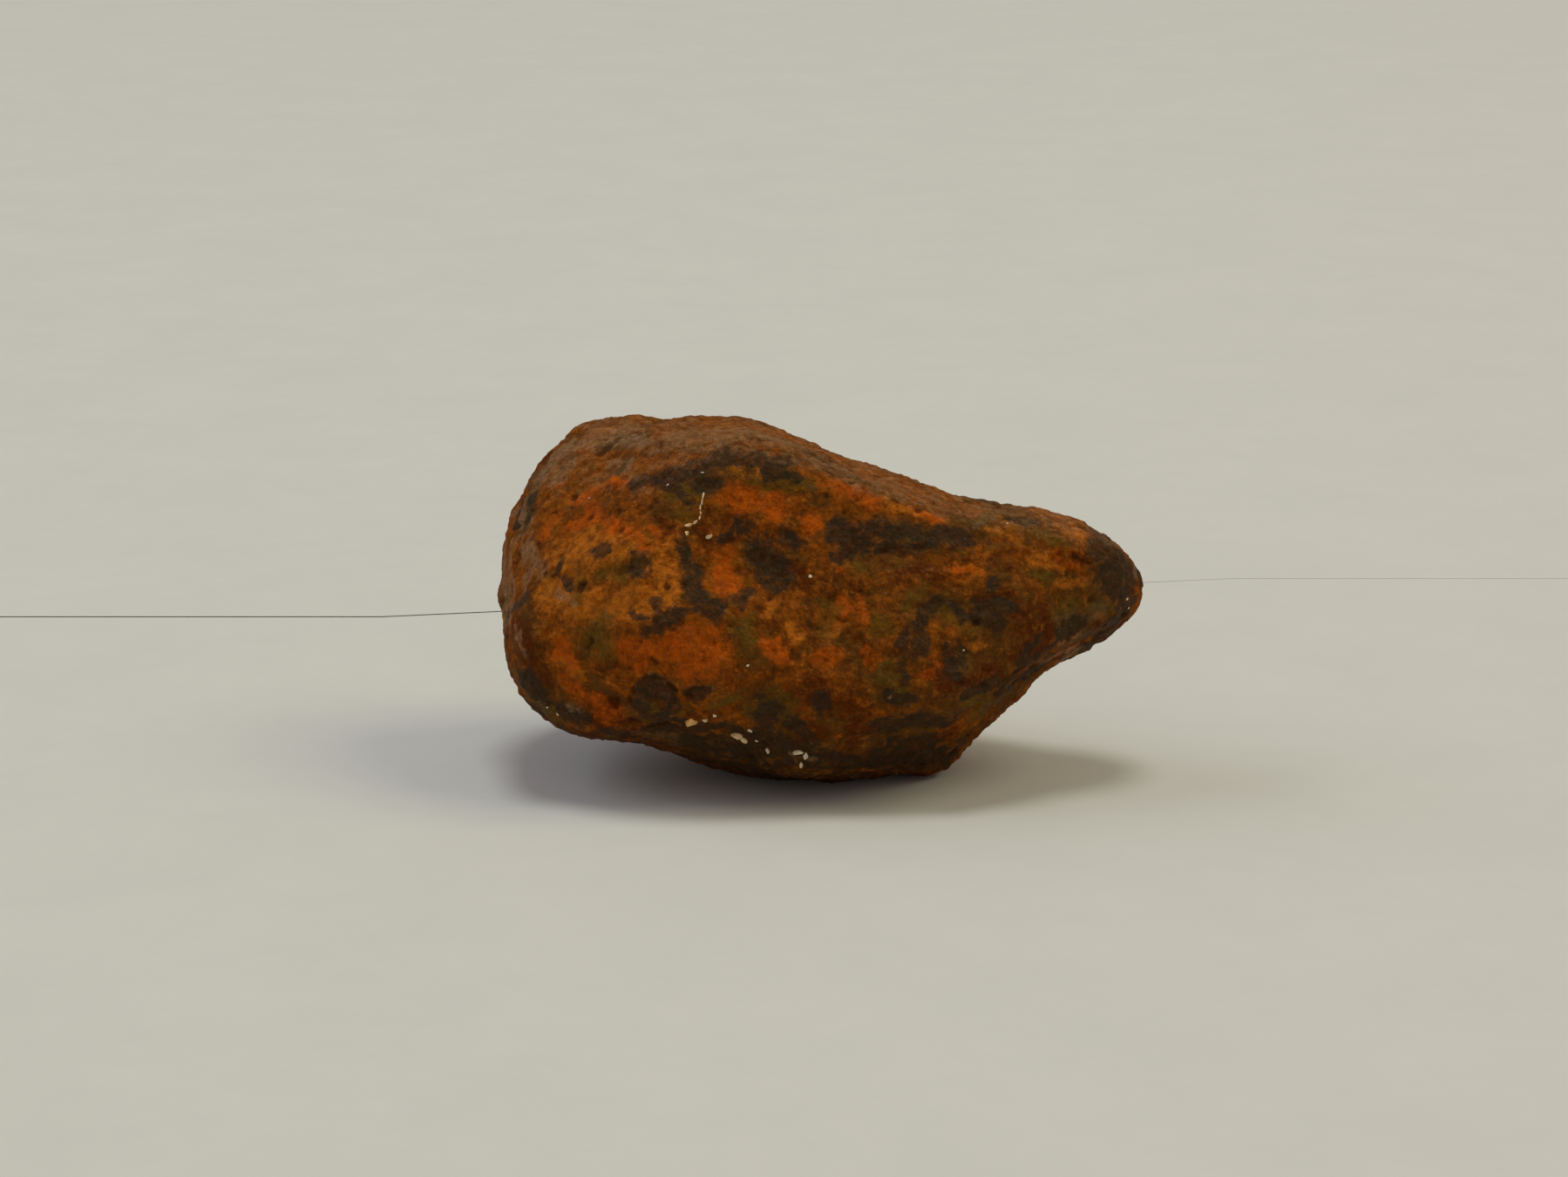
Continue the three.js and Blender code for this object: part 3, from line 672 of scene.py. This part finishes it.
def store(mesh, name, values):
    attribute = mesh.attributes.new(name, "FLOAT", "POINT")
    attribute.data.foreach_set("value", np.asarray(values, np.float32))


# ---- Materials ----

# Colour of the painted shade in the pits and cracks.
PAINTED_PIT_SHADE = (0.04, 0.011, 0.002)
STAINED_GRAIN = (0.85, 0.45, 0.12)
GRAIN_DIRT = (0.45, 0.28, 0.12)
PAPER_COLOURS = ((0.70, 0.68, 0.645), (0.74, 0.72, 0.68))


class Nodes:
    """Adds linked nodes to a node tree."""

    def __init__(self, tree):
        self.tree = tree

    def add(self, kind, inputs=None, **settings):
        node = self.tree.nodes.new(kind)
        for name, value in settings.items():
            setattr(node, name, value)
        for name, value in (inputs or {}).items():
            self.feed(node.inputs[name], value)
        return node

    def feed(self, socket, value):
        if isinstance(value, bpy.types.NodeSocket):
            self.tree.links.new(value, socket)
        elif socket.type == "RGBA" and len(value) == 3:
            socket.default_value = (*value, 1)
        else:
            socket.default_value = value

    def math(self, operation, a, b=0.0, clamp=False):
        node = self.add("ShaderNodeMath", {0: a, 1: b}, operation=operation, use_clamp=clamp)
        return node.outputs[0]

    def ramp(self, value, low, high, out_low=0.0, out_high=1.0, smooth=True):
        node = self.add(
            "ShaderNodeMapRange",
            {"Value": value, "From Min": low, "From Max": high,
             "To Min": out_low, "To Max": out_high},
            interpolation_type="SMOOTHSTEP" if smooth else "LINEAR")
        return node.outputs["Result"]

    def mix(self, factor, a, b, blend="MIX"):
        node = self.add("ShaderNodeMix", {"Factor": factor, "A": a, "B": b}, data_type="RGBA",
                        blend_type=blend)
        return node.outputs["Result"]

    def noise(self, scale, detail=4.0, roughness=0.55, distortion=0.0):
        place = self.add("ShaderNodeTexCoord")
        node = self.add("ShaderNodeTexNoise", {
            "Vector": place.outputs["Object"], "Scale": scale, "Detail": detail,
            "Roughness": roughness, "Distortion": distortion})
        return node.outputs["Fac"]

    def attribute(self, name):
        return self.add("ShaderNodeAttribute", attribute_name=name).outputs["Fac"]

    def group(self, group, **inputs):
        node = self.add("ShaderNodeGroup", node_tree=group)
        for name, value in inputs.items():
            self.feed(node.inputs[name], value)
        return node


def new_group(name, inputs, outputs):
    """A shader node group with float sockets; returns it with its nodes, inputs and output."""
    group = bpy.data.node_groups.new(name, "ShaderNodeTree")
    for socket, value in inputs.items():
        made = group.interface.new_socket(socket, in_out="INPUT", socket_type="NodeSocketFloat")
        made.default_value = value
    for socket in outputs:
        group.interface.new_socket(socket, in_out="OUTPUT", socket_type="NodeSocketFloat")
    nodes = Nodes(group)
    return group, nodes, nodes.add("NodeGroupInput").outputs, nodes.add("NodeGroupOutput").inputs


def ragged_patch_group():
    """Turns a soft field into a patch with a ragged, crumbly edge."""
    group, nodes, given, result = new_group(
        "ragged_patch", {"Field": 0, "Raggedness": 0.5, "Scale": 900, "Softness": 0.06}, ["Mask"])
    edge = nodes.noise(given["Scale"], detail=7, roughness=0.78, distortion=0.3)
    shift = nodes.math("MULTIPLY", nodes.math("SUBTRACT", edge, 0.5), given["Raggedness"])
    level = nodes.math("ADD", given["Field"], shift)
    nodes.feed(result["Mask"], nodes.ramp(
        level, nodes.math("SUBTRACT", 0.5, given["Softness"]),
        nodes.math("ADD", 0.5, given["Softness"])))
    return group


def mottle_group():
    """Uneven cloudiness, 0 to 1, finer and coarser at once."""
    group, nodes, given, result = new_group("mottle", {"Scale": 500, "Contrast": 1}, ["Value"])
    coarse = nodes.noise(given["Scale"], detail=8, roughness=0.6, distortion=0.2)
    fine = nodes.noise(nodes.math("MULTIPLY", given["Scale"], 4.3), detail=3, roughness=0.6)
    both = nodes.math(
        "ADD", nodes.math("MULTIPLY", coarse, 0.65), nodes.math("MULTIPLY", fine, 0.35))
    centred = nodes.math("MULTIPLY", nodes.math("SUBTRACT", both, 0.5), given["Contrast"])
    nodes.feed(result["Value"], nodes.math(
        "ADD", nodes.math("MULTIPLY", centred, 4), 0.5, clamp=True))
    return group


def crumb_group():
    """Height of a crumbly surface, finer than the mesh."""
    group, nodes, given, result = new_group("crumb", {"Scale": 3000}, ["Height"])
    place = nodes.add("ShaderNodeTexCoord").outputs["Object"]
    cells = nodes.add("ShaderNodeTexVoronoi", {"Vector": place, "Scale": given["Scale"]})
    dust = nodes.noise(nodes.math("MULTIPLY", given["Scale"], 0.7), detail=5, roughness=0.6)
    nodes.feed(result["Height"], nodes.math(
        "ADD", nodes.math("MULTIPLY", cells.outputs["Distance"], 0.5), dust))
    return group


def new_material(name):
    material = bpy.data.materials.new(name)
    material.use_nodes = True
    return material, Nodes(material.node_tree), material.node_tree.nodes["Principled BSDF"]


def rusted_iron(colours, groups):
    """The skin's material: mottled rust under patches of every kind, some of which carry painted
    shade, sheen and highlights, with painted shade in the hollows and a painted highlight on the
    raised crumbs.
    """
    material, nodes, shader = new_material("rusted_iron")
    mottle, ragged, crumb = groups["mottle"], groups["ragged_patch"], groups["crumb"]
    ground = nodes.group(mottle, Scale=420.0, Contrast=1.1).outputs["Value"]
    blotch = nodes.group(mottle, Scale=1300.0, Contrast=1.0).outputs["Value"]
    colour_now = nodes.mix(ground, colours.deep, colours.rust)
    for fleck, scale, low, high, strength in (
            (colours.dark, 1500.0, 0.55, 0.67, 0.5), (colours.olive, 1150.0, 0.56, 0.67, 0.5),
            (colours.ochre, 1900.0, 0.58, 0.7, 0.5)):
        spread = nodes.noise(scale, detail=5, roughness=0.7)
        colour_now = nodes.mix(nodes.ramp(spread, low, high, 0, strength), colour_now, fleck)
    masks = {}
    # Patches of every kind; the pale dust, dark, drab and umber patches also carry painted sheen,
    # highlights and shade in places.
    for kind, (*_, raggedness, scale, softness, fullest) in KINDS.items():
        masks[kind] = nodes.group(ragged, Field=nodes.attribute(kind), Raggedness=raggedness,
                                  Scale=scale, Softness=softness).outputs["Mask"]
        uneven = nodes.ramp(blotch, 0, 1, 0.6 * fullest, fullest)
        strength = nodes.math("MULTIPLY", masks[kind], uneven)
        colour_now = nodes.mix(strength, colour_now, getattr(colours, kind))
    # Pale specks: partly dust, partly painted glints.
    dust = nodes.ramp(nodes.noise(3300.0, detail=5, roughness=0.7), 0.6, 0.72, 0, 0.45)
    colour_now = nodes.mix(dust, colour_now, colours.haze)
    speck = nodes.group(mottle, Scale=3600.0, Contrast=1.2).outputs["Value"]
    shade = nodes.math("MULTIPLY", nodes.ramp(blotch, 0, 1, 0.78, 1.2, smooth=False),
                       nodes.ramp(speck, 0, 1, 0.88, 1.13, smooth=False))
    grey = nodes.add("ShaderNodeCombineColor", {"Red": shade, "Green": shade, "Blue": shade})
    colour_now = nodes.mix(1.0, colour_now, grey.outputs["Color"], "MULTIPLY")
    hollow = nodes.attribute("hollow")
    # Painted shade in the pits and cracks.
    colour_now = nodes.mix(nodes.ramp(hollow, 0.58, 1, 0, 0.75), colour_now, PAINTED_PIT_SHADE)
    # Painted highlight: the raised crumbs are tinted towards ochre.
    colour_now = nodes.mix(nodes.ramp(hollow, 0.4, 0.05, 0, 0.25), colour_now, colours.ochre)
    nodes.feed(shader.inputs["Base Color"], colour_now)
    rough = nodes.math("SUBTRACT", nodes.ramp(blotch, 0, 1, 0.72, 0.92),
                       nodes.math("MULTIPLY", masks["dark"], 0.22))
    nodes.feed(shader.inputs["Roughness"], rough)
    shader.inputs["Specular IOR Level"].default_value = 0.05
    coarse = nodes.add("ShaderNodeBump", {
        "Strength": 0.9, "Distance": 0.26 * MM,
        "Height": nodes.group(crumb, Scale=1500.0).outputs["Height"]})
    fine = nodes.add("ShaderNodeBump", {
        "Strength": 0.9, "Distance": 0.16 * MM, "Normal": coarse.outputs["Normal"],
        "Height": nodes.group(crumb, Scale=3200.0).outputs["Height"]})
    nodes.feed(shader.inputs["Normal"], fine.outputs["Normal"])
    return material


def pale_grain(colours, groups):
    material, nodes, shader = new_material("pale_grain")
    cloud = nodes.group(groups["mottle"], Scale=2500.0, Contrast=1.0).outputs["Value"]
    tinted = nodes.mix(nodes.attribute("tint"), colours.grain, STAINED_GRAIN)
    nodes.feed(shader.inputs["Base Color"], nodes.mix(
        nodes.ramp(cloud, 0, 0.45), GRAIN_DIRT, tinted))
    shader.inputs["Roughness"].default_value = 0.6
    bump = nodes.add("ShaderNodeBump", {
        "Strength": 0.6, "Distance": 0.05 * MM,
        "Height": nodes.group(groups["crumb"], Scale=6000.0).outputs["Height"]})
    nodes.feed(shader.inputs["Normal"], bump.outputs["Normal"])
    return material


def white_paper(groups):
    material, nodes, shader = new_material("white_paper")
    cloud = nodes.group(groups["mottle"], Scale=60.0, Contrast=0.6).outputs["Value"]
    nodes.feed(shader.inputs["Base Color"], nodes.mix(cloud, *PAPER_COLOURS))
    shader.inputs["Roughness"].default_value = 0.95
    bump = nodes.add("ShaderNodeBump", {
        "Strength": 0.15, "Distance": 0.1 * MM,
        "Height": nodes.group(groups["crumb"], Scale=900.0).outputs["Height"]})
    nodes.feed(shader.inputs["Normal"], bump.outputs["Normal"])
    return material


def shared_groups():
    """The node groups that the materials share, made on first use."""
    makers = {"ragged_patch": ragged_patch_group, "mottle": mottle_group, "crumb": crumb_group}
    return {name: bpy.data.node_groups.get(name) or maker() for name, maker in makers.items()}


# ---- Operators ----


class METEORITE_OT_studio(bpy.types.Operator):
    """Sets up the sheets of paper, the lights and the camera"""

    bl_idname = "meteorite.studio"
    bl_label = "Studio"

    # Metres. The back sheet's near edge and the gap under it are given at both ends of the bend.
    SHEET_END, FRONT_EDGE, LAP = 1.6, -1.2, 0.02
    BEND, BACK_EDGE, GAP, RISE = (-0.015, 0.015), (0.0446, 0.0585), (0.00009, 0.00002), 0.0006
    LIT_PLACE, LIGHT_DISTANCE = (-0.003, 0, 0.01), 2.8

    def execute(self, context):
        studio = context.scene.meteorite_studio
        self.add_paper(context.scene)
        self.add_light("ceiling_light", studio.ceiling, direction=(0, 0.03, 1),
                       size=0.9, tint=(0.92, 1, 0.95))
        self.add_light("lamp_right", studio.lamp, direction=(0.679, -0.0594, 0.731),
                       size=1.4, tint=(1, 0.93, 0.58))
        self.add_light("window_left", studio.window, direction=(-0.776, 0.137, 0.616),
                       size=2.2, tint=(0.74, 0.85, 1))
        world = bpy.data.worlds.new("soft_room")
        world.use_nodes = True
        background = world.node_tree.nodes["Background"]
        background.inputs["Color"].default_value = (1, 0.9, 0.85, 1)
        background.inputs["Strength"].default_value = studio.surround
        context.scene.world = world
        context.scene.view_settings.view_transform = "Standard"
        self.add_camera(context.scene, studio)
        return {"FINISHED"}

    def add_paper(self, scene):
        """Two sheets of paper: one under the lump, and one behind it that laps over the first."""
        material = white_paper(shared_groups())
        for name, laps in (("front_sheet", False), ("back_sheet", True)):
            sheet = bmesh.new()
            rows = []
            for x in np.linspace(-self.SHEET_END, self.SHEET_END, 81):
                edge = np.interp(x, self.BEND, self.BACK_EDGE) if laps else self.FRONT_EDGE
                gap = np.interp(x, self.BEND, self.GAP) if laps else 0
                outline = [(edge, gap), (edge + self.LAP, gap),
                           (self.SHEET_END, self.RISE if laps else 0)]
                rows.append([sheet.verts.new((x, y, z)) for y, z in outline])
            for left, right in zip(rows, rows[1:]):
                for k in range(len(left) - 1):
                    sheet.faces.new((left[k], right[k], right[k + 1], left[k + 1]))
            mesh = bpy.data.meshes.new(name)
            sheet.to_mesh(mesh)
            sheet.free()
            mesh.materials.append(material)
            paper = bpy.data.objects.new(name, mesh)
            scene.collection.objects.link(paper)

    def add_light(self, name, watts, direction, size, tint):
        """A round soft light that shines on the lump from a direction."""
        light = bpy.data.lights.new(name, "AREA")
        light.shape = "DISK"
        light.size = size
        light.energy = watts
        light.color = tint
        lamp = bpy.data.objects.new(name, light)
        outward = Vector(direction).normalized()
        lamp.location = Vector(self.LIT_PLACE) + outward * self.LIGHT_DISTANCE
        lamp.rotation_euler = outward.to_track_quat("Z", "Y").to_euler()
        bpy.context.scene.collection.objects.link(lamp)

    def add_camera(self, scene, studio):
        eye, _, forward, _, _ = view_axes(studio)
        lens = bpy.data.cameras.new("camera")
        lens.sensor_width = 36
        lens.lens = studio.lens
        lens.clip_start = 0.01
        camera = bpy.data.objects.new("camera", lens)
        camera.location = eye
        camera.rotation_euler = forward.to_track_quat("-Z", "Y").to_euler()
        scene.collection.objects.link(camera)
        scene.camera = camera


class METEORITE_OT_skin(bpy.types.Operator):
    """Makes the fine rusted skin over the lump"""

    bl_idname = "meteorite.skin"
    bl_label = "Rusted skin"

    # Millimetres: how far the relief is let into the solid, and how high its flat rest reaches.
    SUNK, REST = 0.05, 0.05

    def execute(self, context):
        scene = context.scene
        sizes = scene.meteorite_skin
        surface = Surface(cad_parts[LUMP], scene.meteorite_studio)
        skin = fine_copy(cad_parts[LUMP], sizes.grid, "rusted_skin")
        mesh = skin.data
        points, normals = read_places(mesh)
        relief = FineRelief(points, surface, sizes)
        lifted = points + normals * (relief.height - self.SUNK)[:, None]
        low, high = (np.array(corner) / MM for corner in SOLID_BOX)
        resting = points[:, 2] < self.REST
        lifted[resting] = points[resting]
        lifted = np.clip(lifted, low, high) * MM
        mesh.vertices.foreach_set("co", lifted.ravel())
        mesh.shade_smooth()
        store(mesh, "hollow", relief.hollow)
        for kind, field in patch_fields(points, normals, surface, sizes.seed).items():
            store(mesh, kind, field)
        mesh.materials.append(rusted_iron(scene.meteorite_colours, shared_groups()))
        mesh.update()
        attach(skin, BODY)
        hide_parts(LUMP)
        return {"FINISHED"}


class METEORITE_OT_grains(bpy.types.Operator):
    """Scatters the pale grains that cling to the skin"""

    bl_idname = "meteorite.grains"
    bl_label = "Clinging grains"

    # Chips knocked off each grain, and how flat and how proud of the skin it lies, in sizes.
    CHIPS, FLATNESS, PROUD = 9, 0.6, 0.05

    def execute(self, context):
        scene = context.scene
        dice = random.Random(scene.meteorite_skin.seed + 40)
        surface = Surface(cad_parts[LUMP], scene.meteorite_studio)
        skin = bpy.data.objects["rusted_skin"].data
        tree = BVHTree.FromPolygons([v.co / MM for v in skin.vertices],
                                    [tuple(p.vertices) for p in skin.polygons])
        cloud = bmesh.new()
        tints = cloud.verts.layers.float.new("tint")
        spots = [(size, width, surface.in_view(place), surface.turned(turn), tint)
                 for size, width, place, turn, tint in FRONT_GRAINS]
        unseen = surface.scattered(
            FAR_GRAINS, dice, lambda p, n: surface.facing(p, n) < 0.1 and p.z > 0.6)
        spots += [(dice.uniform(0.15, 0.5), dice.uniform(0.4, 0.9), spot,
                   surface.turned(dice.uniform(0, 180)), dice.random()) for spot in unseen]
        for size, width, (point, normal), along, tint in spots:
            near, _, _, _ = tree.find_nearest(point)
            for vert in self.add_grain(cloud, near, normal, size, width, along, dice):
                vert[tints] = tint
        mesh = bpy.data.meshes.new("clinging_grains")
        cloud.to_mesh(mesh)
        cloud.free()
        mesh.transform(Matrix.Scale(MM, 4))
        mesh.materials.append(pale_grain(scene.meteorite_colours, shared_groups()))
        grains = bpy.data.objects.new("clinging_grains", mesh)
        scene.collection.objects.link(grains)
        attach(grains, BODY)
        return {"FINISHED"}

    def add_grain(self, cloud, place, normal, size, width, along, dice):
        """Adds one chipped grain, sunk a little into the skin, and returns its points."""
        other = normal.cross(along).normalized()
        along = other.cross(normal)
        made = bmesh.ops.create_icosphere(cloud, subdivisions=3, radius=1)["verts"]
        cuts = [(Vector([dice.gauss(0, 1) for _ in range(3)]).normalized(), dice.uniform(0.5, 0.8))
                for _ in range(self.CHIPS)]
        for vert in made:
            chipped = vert.co.copy()
            for facing, reach in cuts:
                chipped -= facing * max(0, chipped.dot(facing) - reach)
            x, y, z = chipped * size / 2
            height = z * self.FLATNESS + size * self.PROUD
            vert.co = place + along * x + other * y * width + normal * height
        return made


class METEORITE_PT_panel(bpy.types.Panel):
    """Lists what can be built"""

    bl_idname = "METEORITE_PT_panel"
    bl_label = "Iron meteorite"
    bl_space_type = "VIEW_3D"
    bl_region_type = "UI"
    bl_category = "Meteorite"

    def draw(self, context):
        for operator in OPERATORS:
            self.layout.operator(operator.bl_idname)
        for name, group in SETTINGS.items():
            box = self.layout.box()
            box.label(text=group.__doc__)
            for field in group.__annotations__:
                box.prop(getattr(context.scene, name), field)


OPERATORS = (METEORITE_OT_studio, METEORITE_OT_skin, METEORITE_OT_grains)
CLASSES = (*SETTINGS.values(), *OPERATORS, METEORITE_PT_panel)


def register():
    for cls in CLASSES:
        bpy.utils.register_class(cls)
    for name, group in SETTINGS.items():
        setattr(bpy.types.Scene, name, bpy.props.PointerProperty(type=group))


def unregister():
    for name in SETTINGS:
        delattr(bpy.types.Scene, name)
    for cls in reversed(CLASSES):
        bpy.utils.unregister_class(cls)


def main():
    register()
    bpy.ops.meteorite.studio()
    bpy.ops.meteorite.skin()
    bpy.ops.meteorite.grains()


if __name__ == "__main__":
    main()
